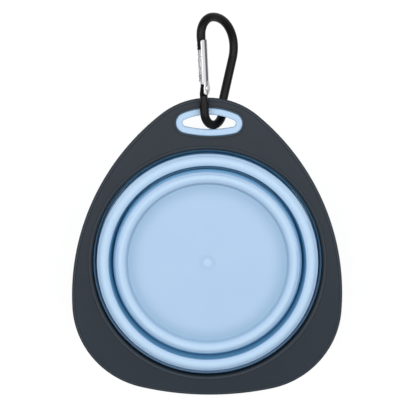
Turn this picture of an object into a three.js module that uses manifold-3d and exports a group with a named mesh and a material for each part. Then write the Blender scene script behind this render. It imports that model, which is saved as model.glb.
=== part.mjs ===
// Collapsible travel bowl: a rounded triangular frame, a soft bowl that folds flat into it and a small
// snap hook through the slot. Millimetres, +Z up. The bowl lies folded with its mouth up and its slot
// toward +Y. The origin is the middle of the floor's underside, on the bowl's axis.
import * as THREE from "three";
import { mergeVertices } from "three/addons/utils/BufferGeometryUtils.js";
import Module from "manifold-3d";

const wasm = await Module();
wasm.setup();

// Fineness of the round forms.
const RING_STEPS = 56;
const ARC_STEPS = 2;
const WIDE_ROUND = 0.95;
const OUTLINE_STEPS = 5;
const EDGE_STEPS = 2;
const ROD_STEPS = 62;
const ROD_SIDES = 12;
const WIRE_STEPS = 48;
const WIRE_SIDES = 6;
const RIVET_SIDES = 18;

// Room left between pieces that touch in the real object.
const GAP = 0.3;

// Hole for the bowl, and the collar under the plate that the bowl is bonded to.
const HOLE_RADIUS = 58.6;
const HOLE_ROUND = 2;
const COLLAR_WALL = 1.8;
const COLLAR_FOOT = 3;

// Frame: a plate outlined by a chain of arcs, symmetric about the Y axis, with a raised edge round its
// outline, its hole and its slot.
const SIDE_BORDER = 10.55;
const BOTTOM_BORDER = 10.4;
const WIDEST_Y = -17.5;
const TOP_RADIUS = 38.5;
const BOTTOM_RADIUS = 154.3;
const CORNER_START = THREE.MathUtils.degToRad(2.86);
const FOLDED_HEIGHT = 14;
const PLATE = 3;
const EDGE_RADIUS = 1;
const PANEL_DEPTH = 0.35;
const EDGE_BEAD = 1.7;
const HOLE_BEAD = 1.6;
const SLOT_BEAD = 1.3;

// Slot, measured up and down from its two ends, the bar between it and the frame's top, and its soft liner.
const SLOT_BORDER = 10.35;
const SLOT_HALF = 13.3;
const SLOT_UP = 4.2;
const SLOT_DOWN = 3.05;
const SLOT_END = 2.1;
const BAR = 8.45;
const LINER_WALL = 3.2;
const LINER_PROUD = 0.15;
const LINER_ROUND = 0.5;
const LINER_RIB = 0.9;

// Soft bowl, folded: walls, and the width of each crest and groove from the rim inward.
const RIM_WALL = 1.3;
const RIM_DROP = 4.4;
const RIM_SLOPE = 5;
const FOLD_WALL = 1;
const FOLD_GAP = 0.5;
const FOLD_LEAN = 0.4;
const BAND_WALL = 1.3;
const BAND_LEAN = 1.7;
const CREST_1_WIDTH = 6;
const CREST_1_DROP = 0.8;
const CREST_1_FALL = 0.6;
const GROOVE = 2.9;
const CREST_2_WIDTH = 5.2;
const CREST_2_DROP = 1.4;
const FLOOR_DROP = 3.7;
const FLOOR_WALL = 1.6;
const MARK_RADIUS = 4.2;
const MARK_DEPTH = 0.25;
const NUB_RADIUS = 1.7;
const NUB_HEIGHT = 0.4;

// Snap hook: a bent rod in its own plane, X across from gate to spine and Y along it from the narrow end.
const ROD = 4.2;
const HOOK_LENGTH = 53.3;
const NARROW_RADIUS = 6.2;
const TOP_SHIFT = 3.8;
const GATE_TOP_RADIUS = 8.45;
const SPINE_TOP_RADIUS = 14.4;
const SPINE_FOOT = 1.6;
const SPINE_LOW_BEND = 5;
const SPINE_HIGH_BEND = 16;
const HOOK_X = 2.4;
const HOOK_ROLL = THREE.MathUtils.degToRad(47);
const HOOK_TILT = THREE.MathUtils.degToRad(4.2);
const HOOK_YAW = THREE.MathUtils.degToRad(4.9);

// Gate: a folded channel, open outward, turning on a rivet in the end of the rod.
const GATE_INSET = 1.3;
const RIVET_ALONG = 12.4;
const GATE_WIDTH = 3.4;
const GATE_OUT = 3.2;
const GATE_IN = 1.6;
const GATE_WALL = 0.5;
const GATE_EAR = 3;
const WEB_START = 3.5;
const NOSE_STRAIGHT = 2.1;
const NOSE_LENGTH = 5.4;
const NOSE_WIDTH = 1.6;
const NOSE_GAP = 0.5;
const TONGUE_WIDTH = 1;
const TONGUE_SHIFT = -0.5;
const TONGUE_RADIUS = 2.2;
const ROD_END = 3.8;
const RIVET = 1.7;
const RIVET_HEAD = 2.9;
const RIVET_HEAD_HEIGHT = 0.5;
const SPRING_WIRE = 0.3;
const SPRING_TURNS = 1.5;
const SPRING_LEG = 3;

const PLASTIC = { color: 0x383d44, roughness: 0.55, metalness: 0 };
const SOFT = { color: 0xaed0ee, roughness: 0.6, metalness: 0 };
const ANODISED = { color: 0x161719, roughness: 0.35, metalness: 0.4 };
const SILVER = { color: 0xc9cacd, roughness: 0.3, metalness: 1 };
const STEEL = { color: 0xa9abad, roughness: 0.35, metalness: 1 };

// The pieces are drawn lying on a table at Z = 0, and the group brings the floor's underside to the origin.
const faceZ = FOLDED_HEIGHT;
const floorTop = faceZ - FLOOR_DROP;
const model = new THREE.Group();
const lying = new THREE.Group();
lying.position.z = FLOOR_WALL - floorTop;
model.add(lying);

function add(name, geometry, look) {
  const mesh = new THREE.Mesh(geometry, new THREE.MeshStandardMaterial(look));
  mesh.name = name;
  lying.add(mesh);
}

function solid(geometry) {
  const bare = geometry.clone();
  bare.deleteAttribute("normal");
  bare.deleteAttribute("uv");
  const merged = mergeVertices(bare, 1e-4);
  return new wasm.Manifold(
    new wasm.Mesh({
      numProp: 3,
      vertProperties: new Float32Array(merged.attributes.position.array),
      triVerts: new Uint32Array(merged.index.array),
    }),
  );
}

function geometryOf(body) {
  const mesh = body.getMesh();
  const geometry = new THREE.BufferGeometry();
  geometry.setAttribute("position", new THREE.BufferAttribute(mesh.vertProperties, 3));
  geometry.setIndex(new THREE.BufferAttribute(mesh.triVerts, 1));
  return geometry;
}

// Points of a closed outline through corners [x, y, radius], anticlockwise. A corner with a radius is rounded.
function rounded(corners) {
  const count = corners.length;
  const points = corners.flatMap(([x, y, radius = 0], i) => {
    const here = new THREE.Vector2(x, y);
    if (radius === 0) return [here];
    const back = new THREE.Vector2(...corners.at(i - 1)).sub(here).normalize();
    const on = new THREE.Vector2(...corners[(i + 1) % count]).sub(here).normalize();
    const half = Math.acos(back.dot(on)) / 2;
    const start = here.clone().addScaledVector(back, radius / Math.tan(half));
    const toCentre = back.clone().add(on).normalize();
    const centre = here.clone().addScaledVector(toCentre, radius / Math.sin(half));
    const steps = radius < WIDE_ROUND ? 1 : ARC_STEPS;
    const turn = (Math.sign(on.cross(back)) * (Math.PI - 2 * half)) / steps;
    return Array.from({ length: steps + 1 }, (_, k) => start.clone().rotateAround(centre, k * turn));
  });
  return [...points, points[0]];
}

// A ring about the Z axis from a closed profile of corners [radius, z, round].
function ring(corners) {
  return new THREE.LatheGeometry(rounded(corners), RING_STEPS).rotateX(Math.PI / 2);
}

// A solid about the Z axis from a profile of corners that starts and ends on the axis.
function turned(corners, steps = RING_STEPS) {
  const outline = rounded(corners).slice(0, -1);
  return new THREE.LatheGeometry(outline, steps).rotateX(Math.PI / 2);
}

function slab(shape, low, high, round = 0) {
  const made = new THREE.ExtrudeGeometry(shape, {
    depth: high - low - 2 * round,
    steps: 1,
    curveSegments: OUTLINE_STEPS,
    bevelEnabled: round > 0,
    bevelThickness: round,
    bevelSize: round,
    bevelOffset: -round,
    bevelSegments: EDGE_STEPS,
  });
  return made.translate(0, 0, low + round);
}

function block(x0, x1, y0, y1, z0, z1) {
  const box = new THREE.BoxGeometry(x1 - x0, y1 - y0, z1 - z0);
  return box.translate((x0 + x1) / 2, (y0 + y1) / 2, (z0 + z1) / 2);
}

function disc(radius, low, high, sides = RIVET_SIDES) {
  const cylinder = new THREE.CylinderGeometry(radius, radius, high - low, sides);
  return cylinder.rotateX(Math.PI / 2).translate(0, 0, (low + high) / 2);
}

function sweep(line, radius, steps, sides) {
  const section = new THREE.Shape().absarc(0, 0, radius, 0, 2 * Math.PI, false);
  const outline = new THREE.Shape(section.getPoints(sides / 2).slice(0, sides));
  return new THREE.ExtrudeGeometry(outline, { steps, bevelEnabled: false, extrudePath: line });
}

const slotY = HOLE_RADIUS + SLOT_BORDER + SLOT_DOWN;
const frameTop = slotY + SLOT_UP + BAR;
const frameBottom = -(HOLE_RADIUS + BOTTOM_BORDER);
const frameHalf = HOLE_RADIUS + SIDE_BORDER;

// The frame's outline, moved in by an inset: top, side, corner and bottom arcs, each tangent to the next.
function frameOutline(inset = 0) {
  const topCentre = frameTop - TOP_RADIUS;
  const rise = topCentre - WIDEST_Y;
  const side = (frameHalf ** 2 + rise ** 2 - TOP_RADIUS ** 2) / (2 * (frameHalf - TOP_RADIUS));
  const sideCentre = new THREE.Vector2(frameHalf - side, WIDEST_Y);
  const bottomCentre = new THREE.Vector2(0, frameBottom + BOTTOM_RADIUS);
  const way = new THREE.Vector2(Math.cos(CORNER_START), -Math.sin(CORNER_START));
  const cornerTop = sideCentre.clone().addScaledVector(way, side);
  const across = cornerTop.clone().sub(bottomCentre);
  const corner = (across.lengthSq() - BOTTOM_RADIUS ** 2) / (2 * (way.dot(across) - BOTTOM_RADIUS));
  const cornerCentre = cornerTop.clone().addScaledVector(way, -corner);
  const sideTop = Math.atan2(rise, side - frameHalf);
  const low = cornerCentre.clone().sub(bottomCentre).angle() - 2 * Math.PI;
  const shape = new THREE.Shape();
  shape.absarc(0, bottomCentre.y, BOTTOM_RADIUS - inset, -Math.PI - low, low, false);
  shape.absarc(cornerCentre.x, cornerCentre.y, corner - inset, low, -CORNER_START, false);
  shape.absarc(sideCentre.x, WIDEST_Y, side - inset, -CORNER_START, sideTop, false);
  shape.absarc(0, topCentre, TOP_RADIUS - inset, sideTop, Math.PI - sideTop, false);
  shape.absarc(-sideCentre.x, WIDEST_Y, side - inset, Math.PI - sideTop, Math.PI + CORNER_START, false);
  shape.absarc(-cornerCentre.x, cornerCentre.y, corner - inset, Math.PI + CORNER_START, Math.PI - low, false);
  return shape;
}

// The slot's outline, moved out by an offset: round ends joined by two arcs, the lower one flatter.
function slotOutline(offset = 0) {
  const reach = SLOT_HALF - SLOT_END;
  const arcRadius = (rise) => (reach ** 2 + rise ** 2 - SLOT_END ** 2) / (2 * (rise - SLOT_END));
  const top = arcRadius(SLOT_UP);
  const bottom = arcRadius(SLOT_DOWN);
  const high = Math.atan2(top - SLOT_UP, reach);
  const low = Math.atan2(SLOT_DOWN - bottom, reach);
  const shape = new THREE.Shape();
  shape.absarc(0, slotY + SLOT_UP - top, top + offset, high, Math.PI - high, false);
  shape.absarc(-reach, slotY, SLOT_END + offset, Math.PI - high, Math.PI - low, false);
  shape.absarc(0, slotY - SLOT_DOWN + bottom, bottom + offset, -Math.PI - low, low, false);
  shape.absarc(reach, slotY, SLOT_END + offset, low, high, false);
  return shape;
}

const plateLow = faceZ - PLATE;
const over = faceZ + PLATE;
const ribLow = plateLow + PLATE / 3;
const ribHigh = faceZ - PLATE / 3;
const collarOuter = HOLE_RADIUS + COLLAR_WALL;

// The shallow step on the face inside the raised edges.
function buildPanel() {
  const bead = HOLE_RADIUS + HOLE_ROUND + HOLE_BEAD;
  const low = faceZ - PANEL_DEPTH;
  return solid(slab(frameOutline(EDGE_BEAD), low, over))
    .subtract(solid(disc(bead, low - PLATE, over + PLATE, RING_STEPS)))
    .subtract(solid(slab(slotOutline(LINER_WALL + SLOT_BEAD), low - PLATE, over + PLATE)));
}

function buildFrame() {
  const collar = ring([
    [HOLE_RADIUS - GAP, COLLAR_FOOT],
    [collarOuter, COLLAR_FOOT, 0.4],
    [collarOuter, plateLow + GAP],
    [HOLE_RADIUS - GAP, plateLow + GAP],
  ]);
  const hole = turned([
    [0, -PLATE],
    [HOLE_RADIUS, -PLATE],
    [HOLE_RADIUS, faceZ, HOLE_ROUND],
    [HOLE_RADIUS + 2 * HOLE_ROUND, faceZ],
    [HOLE_RADIUS + 2 * HOLE_ROUND, over],
    [0, over],
  ]);
  const groove = slab(slotOutline(LINER_WALL + LINER_RIB + GAP), ribLow - GAP, ribHigh + GAP);
  return solid(slab(frameOutline(), plateLow, faceZ, EDGE_RADIUS))
    .add(solid(collar))
    .subtract(solid(hole))
    .subtract(solid(slab(slotOutline(LINER_WALL + GAP), plateLow - PLATE, over)))
    .subtract(solid(groove))
    .subtract(buildPanel());
}

function buildLiner() {
  const body = slotOutline(LINER_WALL);
  body.holes.push(slotOutline());
  const rib = slotOutline(LINER_WALL + LINER_RIB);
  rib.holes.push(slotOutline(LINER_WALL / 2));
  return solid(slab(body, plateLow - LINER_PROUD, faceZ + LINER_PROUD, LINER_ROUND)).add(
    solid(slab(rib, ribLow, ribHigh)),
  );
}

add("frame", geometryOf(buildFrame()), PLASTIC);
add("slot_liner", geometryOf(buildLiner()), SOFT);

// Soft bowl. Each zone is a ring, and each ring clears the next as the bowl opens downward.
const rimOuter = HOLE_RADIUS - GAP;
const rimInner = rimOuter - RIM_WALL;
const rimTop = faceZ - RIM_DROP;
const upper = rimInner - FOLD_GAP;
const bandOuter = upper - FOLD_WALL - GAP;
const bandInner = upper - CREST_1_WIDTH;
const crest1 = faceZ - CREST_1_DROP;
const lower = bandInner - GROOVE;
const lowerTop = lower - FOLD_LEAN;
const crestOuter = lowerTop - FOLD_WALL - GAP;
const crest2 = faceZ - CREST_2_DROP;
const floorRadius = crestOuter - CREST_2_WIDTH;

add(
  "rim_collar",
  ring([
    [upper + GAP, 0, 0.5],
    [collarOuter, 0, 0.9],
    [collarOuter, COLLAR_FOOT - GAP, 0.3],
    [rimOuter, COLLAR_FOOT - GAP],
    [rimOuter, rimTop],
    [rimOuter - 0.3, rimTop],
    [rimInner, rimTop - RIM_SLOPE],
    [rimInner, RIM_WALL + GAP],
    [upper + GAP, RIM_WALL],
  ]),
  SOFT,
);

add(
  "upper_fold",
  ring([
    [upper - FOLD_WALL, GAP, 0.3],
    [upper, GAP, 0.3],
    [upper, crest1 - CREST_1_FALL - 0.7, 0.5],
    [upper - FOLD_WALL, crest1 - CREST_1_FALL - 0.1],
  ]),
  SOFT,
);

add(
  "mid_band",
  ring([
    [lower + GAP, 0, 0.5],
    [bandInner + BAND_WALL - BAND_LEAN, 0, 0.8],
    [bandInner + BAND_WALL, crest1 - BAND_WALL, 0.6],
    [bandOuter, crest1 - CREST_1_FALL - BAND_WALL],
    [bandOuter, crest1 - CREST_1_FALL],
    [bandOuter - 2, crest1, 3],
    [bandInner, crest1 - 0.3, 0.7],
    [bandInner - BAND_LEAN, BAND_WALL, 0.3],
    [lower + GAP, BAND_WALL],
  ]),
  SOFT,
);

add(
  "lower_fold",
  ring([
    [lower - FOLD_WALL, GAP, 0.3],
    [lower, GAP, 0.3],
    [lowerTop, crest2 - 0.9, 0.5],
    [lowerTop - FOLD_WALL, crest2 - 0.35],
  ]),
  SOFT,
);

add(
  "bowl_floor",
  turned([
    [0, floorTop - FLOOR_WALL],
    [floorRadius, floorTop - FLOOR_WALL, 0.9],
    [floorRadius + 2.6, crest2 - BAND_WALL, 0.9],
    [crestOuter, crest2 - BAND_WALL - 0.4],
    [crestOuter, crest2 - 0.25],
    [crestOuter - 1.5, crest2, 1.5],
    [floorRadius + 1.2, floorTop + 1.5, 0.8],
    [floorRadius, floorTop, 0.8],
    [MARK_RADIUS, floorTop],
    [MARK_RADIUS - 0.5, floorTop - MARK_DEPTH],
    [NUB_RADIUS, floorTop - MARK_DEPTH],
    [NUB_RADIUS / 2, floorTop - MARK_DEPTH + NUB_HEIGHT],
    [0, floorTop - MARK_DEPTH + NUB_HEIGHT],
  ]),
  SOFT,
);

// Snap hook. Its gate lies along the line that touches the narrow bend and the gate's top bend.
const narrow = new THREE.Vector2(0, NARROW_RADIUS);
const topGate = new THREE.Vector2(TOP_SHIFT, HOOK_LENGTH - GATE_TOP_RADIUS);
const topSpine = new THREE.Vector2(TOP_SHIFT, HOOK_LENGTH - SPINE_TOP_RADIUS);
const apart = topGate.clone().sub(narrow);
const gateLean = Math.asin((GATE_TOP_RADIUS - NARROW_RADIUS) / apart.length()) - Math.atan2(apart.x, apart.y);
const along = new THREE.Vector2(-Math.sin(gateLean), Math.cos(gateLean));
const inward = new THREE.Vector2(Math.cos(gateLean), Math.sin(gateLean));
const gateFoot = narrow.clone().addScaledVector(inward, -NARROW_RADIUS);
const gateHead = topGate.clone().addScaledVector(inward, -GATE_TOP_RADIUS);
const rivetFoot = gateFoot.clone().addScaledVector(along, RIVET_ALONG);
const rivetAt = rivetFoot.clone().addScaledVector(inward, GATE_INSET);
const noseAlong = gateHead.distanceTo(rivetFoot) - NOSE_STRAIGHT;
const gateLength = noseAlong - NOSE_GAP;

// From the gate's own frame, with the rivet at its origin and the gate along +Y, to the frame of the hook,
// and from there to the bowl: the narrow bend rests in the slot and goes round the bar above it.
const gatePlace = new THREE.Matrix4()
  .makeTranslation(rivetAt.x, rivetAt.y, 0)
  .multiply(new THREE.Matrix4().makeRotationZ(gateLean));
const hookY = slotY - SLOT_DOWN + GAP + ROD / 2;
const hookZ = faceZ - PLATE / 2 - NARROW_RADIUS * Math.sin(HOOK_TILT);
const hookPlace = new THREE.Matrix4()
  .makeTranslation(HOOK_X, hookY, hookZ)
  .multiply(new THREE.Matrix4().makeRotationZ(HOOK_YAW))
  .multiply(new THREE.Matrix4().makeRotationX(HOOK_TILT))
  .multiply(new THREE.Matrix4().makeRotationY(HOOK_ROLL));

// The rod's middle line, from the end that carries the rivet round to the nose. The spine leaves the narrow
// bend straight, leans out between two bends and comes upright again at the top.
function rodLine() {
  const bends = SPINE_LOW_BEND + SPINE_HIGH_BEND;
  const bendStart = NARROW_RADIUS + SPINE_FOOT;
  const spineX = TOP_SHIFT + SPINE_TOP_RADIUS;
  const shift = spineX - NARROW_RADIUS - bends;
  const height = topSpine.y - bendStart;
  const lean = Math.atan2(shift, height) + Math.asin(bends / Math.hypot(shift, height));
  const end = rivetFoot.clone().addScaledVector(along, -ROD_END);
  const nose = rivetFoot.clone().addScaledVector(along, noseAlong);
  const path = new THREE.Path();
  path.moveTo(end.x, end.y);
  path.lineTo(gateFoot.x, gateFoot.y);
  path.absarc(narrow.x, narrow.y, NARROW_RADIUS, Math.PI + gateLean, 2 * Math.PI, false);
  path.absarc(NARROW_RADIUS + SPINE_LOW_BEND, bendStart, SPINE_LOW_BEND, Math.PI, Math.PI - lean, true);
  path.absarc(spineX - SPINE_HIGH_BEND, topSpine.y, SPINE_HIGH_BEND, -lean, 0, false);
  path.absarc(topSpine.x, topSpine.y, SPINE_TOP_RADIUS, 0, Math.PI / 2, false);
  path.absarc(topGate.x, topGate.y, GATE_TOP_RADIUS, Math.PI / 2, Math.PI + gateLean, false);
  path.lineTo(nose.x, nose.y);
  const points = path.getSpacedPoints(ROD_STEPS).map((point) => new THREE.Vector3(point.x, point.y, 0));
  return new THREE.CatmullRomCurve3(points);
}

const channelIn = GATE_IN - GATE_WALL;
const channelHalf = GATE_WIDTH / 2 - GATE_WALL;
const tongueLow = TONGUE_SHIFT - TONGUE_WIDTH / 2;
const tongueHigh = TONGUE_SHIFT + TONGUE_WIDTH / 2;
const rodOut = -GATE_INSET - ROD / 2;

// The rod, with the nose that the gate closes on and the tongue that carries the rivet.
function buildHook() {
  const noseLow = noseAlong - NOSE_LENGTH;
  const nose = block(rodOut - 0.1, channelIn - GAP, noseLow, noseAlong + 1, -NOSE_WIDTH / 2, NOSE_WIDTH / 2);
  const tongue = block(rodOut + 0.4, TONGUE_RADIUS - 0.6, -ROD_END - 1, 0, tongueLow, tongueHigh);
  const eye = disc(TONGUE_RADIUS, tongueLow, tongueHigh);
  const bore = disc(RIVET / 2 + GAP, -ROD, ROD);
  const fittings = solid(nose).add(solid(tongue)).add(solid(eye)).subtract(solid(bore));
  const placed = geometryOf(fittings).applyMatrix4(gatePlace);
  return solid(sweep(rodLine(), ROD / 2, ROD_STEPS, ROD_SIDES)).add(solid(placed));
}

function buildGate() {
  const half = GATE_WIDTH / 2;
  const side = new THREE.Shape(
    rounded([
      [-GATE_OUT, -GATE_EAR, 1.4],
      [GATE_IN, -GATE_EAR, 1.4],
      [GATE_IN, gateLength, 0.6],
      [-GATE_OUT, gateLength, 0.9],
    ]).slice(0, -1),
  );
  const hollow = block(-2 * GATE_OUT, channelIn, -gateLength, 2 * gateLength, -channelHalf, channelHalf);
  const foot = block(-2 * GATE_OUT, 2 * GATE_IN, -gateLength, WEB_START, -channelHalf, channelHalf);
  return solid(slab(side, -half, half, 0.3))
    .subtract(solid(hollow))
    .subtract(solid(foot))
    .subtract(solid(disc(RIVET / 2 + GAP / 2, -GATE_WIDTH, GATE_WIDTH)));
}

function buildRivet() {
  const half = GATE_WIDTH / 2 + GAP / 2;
  const high = half + RIVET_HEAD_HEIGHT;
  const corners = [
    [0, -high],
    [RIVET_HEAD / 2, -high, 0.35],
    [RIVET_HEAD / 2, -half],
    [RIVET / 2, -half],
    [RIVET / 2, half],
    [RIVET_HEAD / 2, half],
    [RIVET_HEAD / 2, high, 0.35],
    [0, high],
  ];
  return turned(corners, RIVET_SIDES);
}

// A torsion spring round the rivet beside the tongue, with one leg on the gate's web and one by the rod's end.
function buildSpring() {
  const coil = RIVET / 2 + GAP + SPRING_WIRE / 2;
  const low = tongueHigh + GAP / 2 + SPRING_WIRE / 2;
  const high = channelHalf - GAP / 2 - SPRING_WIRE / 2;
  const web = channelIn - GAP - SPRING_WIRE / 2;
  const steps = 30;
  const turns = Array.from({ length: steps + 1 }, (_, i) => {
    const share = i / steps;
    const angle = Math.PI - 2 * Math.PI * SPRING_TURNS * share;
    const height = THREE.MathUtils.lerp(low, high, share);
    return new THREE.Vector3(coil * Math.cos(angle), coil * Math.sin(angle), height);
  });
  const line = new THREE.CatmullRomCurve3(
    [
      new THREE.Vector3(-coil, -TONGUE_RADIUS - 0.2, low),
      ...turns,
      new THREE.Vector3(web, WEB_START, high),
      new THREE.Vector3(web, WEB_START + SPRING_LEG, high),
    ],
    false,
    "centripetal",
  );
  return sweep(line, SPRING_WIRE / 2, WIRE_STEPS, WIRE_SIDES);
}

function place(geometry) {
  return geometry.applyMatrix4(gatePlace).applyMatrix4(hookPlace);
}

add("carabiner_body", geometryOf(buildHook()).applyMatrix4(hookPlace), ANODISED);
add("carabiner_gate", place(geometryOf(buildGate())), SILVER);
add("gate_rivet", place(buildRivet()), STEEL);
add("gate_spring", place(buildSpring()), STEEL);

export default model;
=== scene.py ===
"""Collapsible travel bowl, dressed: a hard frame, a soft folding bowl, a lined slot and a snap hook.

Sizes are in millimetres and are scaled to metres as the meshes are made. Heights are over the lowest face of
the folded bowl. The bowl's axis is Z and the slot is toward +Y.
"""

from __future__ import annotations

import logging
from dataclasses import dataclass
from enum import Enum
from math import asin, atan2, ceil, copysign, cos, hypot, pi, radians, sin, sqrt, tan
from typing import Callable, Iterable, Sequence

import bmesh
import bpy
from bpy.types import ID, Material, Node, NodeTree, Object, World
from bpy.types import NodeSocket as Socket
from mathutils import Matrix, Vector

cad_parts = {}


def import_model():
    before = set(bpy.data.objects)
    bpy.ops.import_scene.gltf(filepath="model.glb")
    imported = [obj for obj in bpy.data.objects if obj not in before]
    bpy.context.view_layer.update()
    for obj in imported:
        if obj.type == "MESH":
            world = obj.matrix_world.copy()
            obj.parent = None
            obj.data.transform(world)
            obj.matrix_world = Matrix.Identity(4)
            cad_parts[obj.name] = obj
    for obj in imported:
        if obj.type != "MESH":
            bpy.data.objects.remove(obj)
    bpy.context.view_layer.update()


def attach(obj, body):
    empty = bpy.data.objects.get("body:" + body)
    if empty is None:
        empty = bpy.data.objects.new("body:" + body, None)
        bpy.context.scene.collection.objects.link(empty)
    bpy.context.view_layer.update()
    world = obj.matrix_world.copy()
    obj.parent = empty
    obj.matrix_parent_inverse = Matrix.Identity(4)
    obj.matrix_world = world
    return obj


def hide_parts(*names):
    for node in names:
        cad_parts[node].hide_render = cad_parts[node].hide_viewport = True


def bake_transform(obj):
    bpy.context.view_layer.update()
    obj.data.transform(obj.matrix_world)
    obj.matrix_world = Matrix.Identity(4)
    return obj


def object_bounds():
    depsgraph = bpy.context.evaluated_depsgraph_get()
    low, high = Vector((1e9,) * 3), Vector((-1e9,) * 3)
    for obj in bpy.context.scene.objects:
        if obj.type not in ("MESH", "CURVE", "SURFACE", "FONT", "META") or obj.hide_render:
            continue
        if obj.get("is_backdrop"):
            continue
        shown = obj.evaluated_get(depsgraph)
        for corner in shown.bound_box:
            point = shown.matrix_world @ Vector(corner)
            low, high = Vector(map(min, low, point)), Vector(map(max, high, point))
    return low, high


log = logging.getLogger("travel_bowl")

MM = 0.001
BASE_Z = -8.7  # the folded bowl's lowest face, in the shared frame
RING_STEPS = 192

Pair = tuple[float, float]
Point = tuple[float, float, float]
Tone = tuple[float, float, float]
Outline = list[Pair]
Marks = tuple[float, ...]
MarkRule = Callable[[Pair], Marks]
Loop = list[bmesh.types.BMVert]
Pieces = list[Object]


class Body(Enum):
    """The moving bodies of the bowl."""

    FRAME = "frame"
    BAND = "mid_band"
    FLOOR = "bowl_floor"
    HOOK = "carabiner"
    GATE = "gate"


class Slot(Enum):
    """The material slots of the record."""

    PLASTIC = "frame_plastic"
    SOFT = "soft_blue"
    BLACK = "hook_black"
    SILVER = "gate_silver"
    STEEL = "rivet_steel"


def arc(cx: float, cy: float, radius: float, start: float, end: float, steps: int) -> Outline:
    """Gives the points of an arc, without its last one.

    Args:
        cx: The x of its centre.
        cy: The y of its centre.
        radius: Its radius.
        start: The angle at which it starts.
        end: The angle at which it ends.
        steps: How many points it has.

    Returns:
        The points.
    """
    turn = (end - start) / steps
    angles = (start + turn * i for i in range(steps))
    return [(cx + radius * cos(a), cy + radius * sin(a)) for a in angles]


def rounded(corners: Sequence[tuple[float, ...]], steps: int = 7, closed: bool = True) -> Outline:
    """Rounds the corners of an outline.

    Args:
        corners: Points (x, y) or (x, y, radius).
        steps: Segments in each rounded corner.
        closed: False where the first and last corners are ends.

    Returns:
        The points of the outline.
    """
    points: Outline = []
    count = len(corners)
    for i, (x, y, *rest) in enumerate(corners):
        here = Vector((x, y))
        if not rest or (not closed and i in (0, count - 1)):
            points.append((x, y))
            continue
        back = (Vector(corners[i - 1][:2]) - here).normalized()
        on = (Vector(corners[(i + 1) % count][:2]) - here).normalized()
        half = back.angle(on) / 2
        reach = rest[0] / tan(half)
        centre = here + (back + on).normalized() * (rest[0] / sin(half))
        start = here + back * reach - centre
        turn = copysign(pi - 2 * half, on.x * back.y - on.y * back.x) / steps
        for k in range(steps + 1):
            spoke = Matrix.Rotation(turn * k, 2) @ start
            points.append(tuple(centre + spoke))
    return points


def turns(steps: int) -> list[float]:
    """Gives the angles of a full turn in equal steps."""
    return [2 * pi * k / steps for k in range(steps)]


def circle(radius: float, z: float, steps: int) -> list[Point]:
    """Gives the points of a level circle about the Z axis."""
    return [(radius * cos(t), radius * sin(t), z) for t in turns(steps)]


def level(outline: Sequence[Pair], z: float) -> list[Point]:
    """Gives the points of an outline at a height."""
    return [(x, y, z) for x, y in outline]


def ramp(value: float, low: float, high: float) -> float:
    """Gives 0 at low, 1 at high and a straight rise between them."""
    return max(0.0, min(1.0, (value - low) / (high - low)))


def fall(value: float, low: float, high: float) -> float:
    """Gives 1 at low, 0 at high and a straight fall between them."""
    return 1.0 - ramp(value, low, high)


def unmarked(point: Pair) -> Marks:
    """Leaves a point plain."""
    return ()


def linked(name: str, data: ID) -> Object:
    """Makes an object and links it to the scene.

    Args:
        name: The name of the object.
        data: Its mesh, lamp or camera.

    Returns:
        The object.
    """
    thing = bpy.data.objects.new(name, data)
    bpy.context.scene.collection.objects.link(thing)
    return thing


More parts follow.
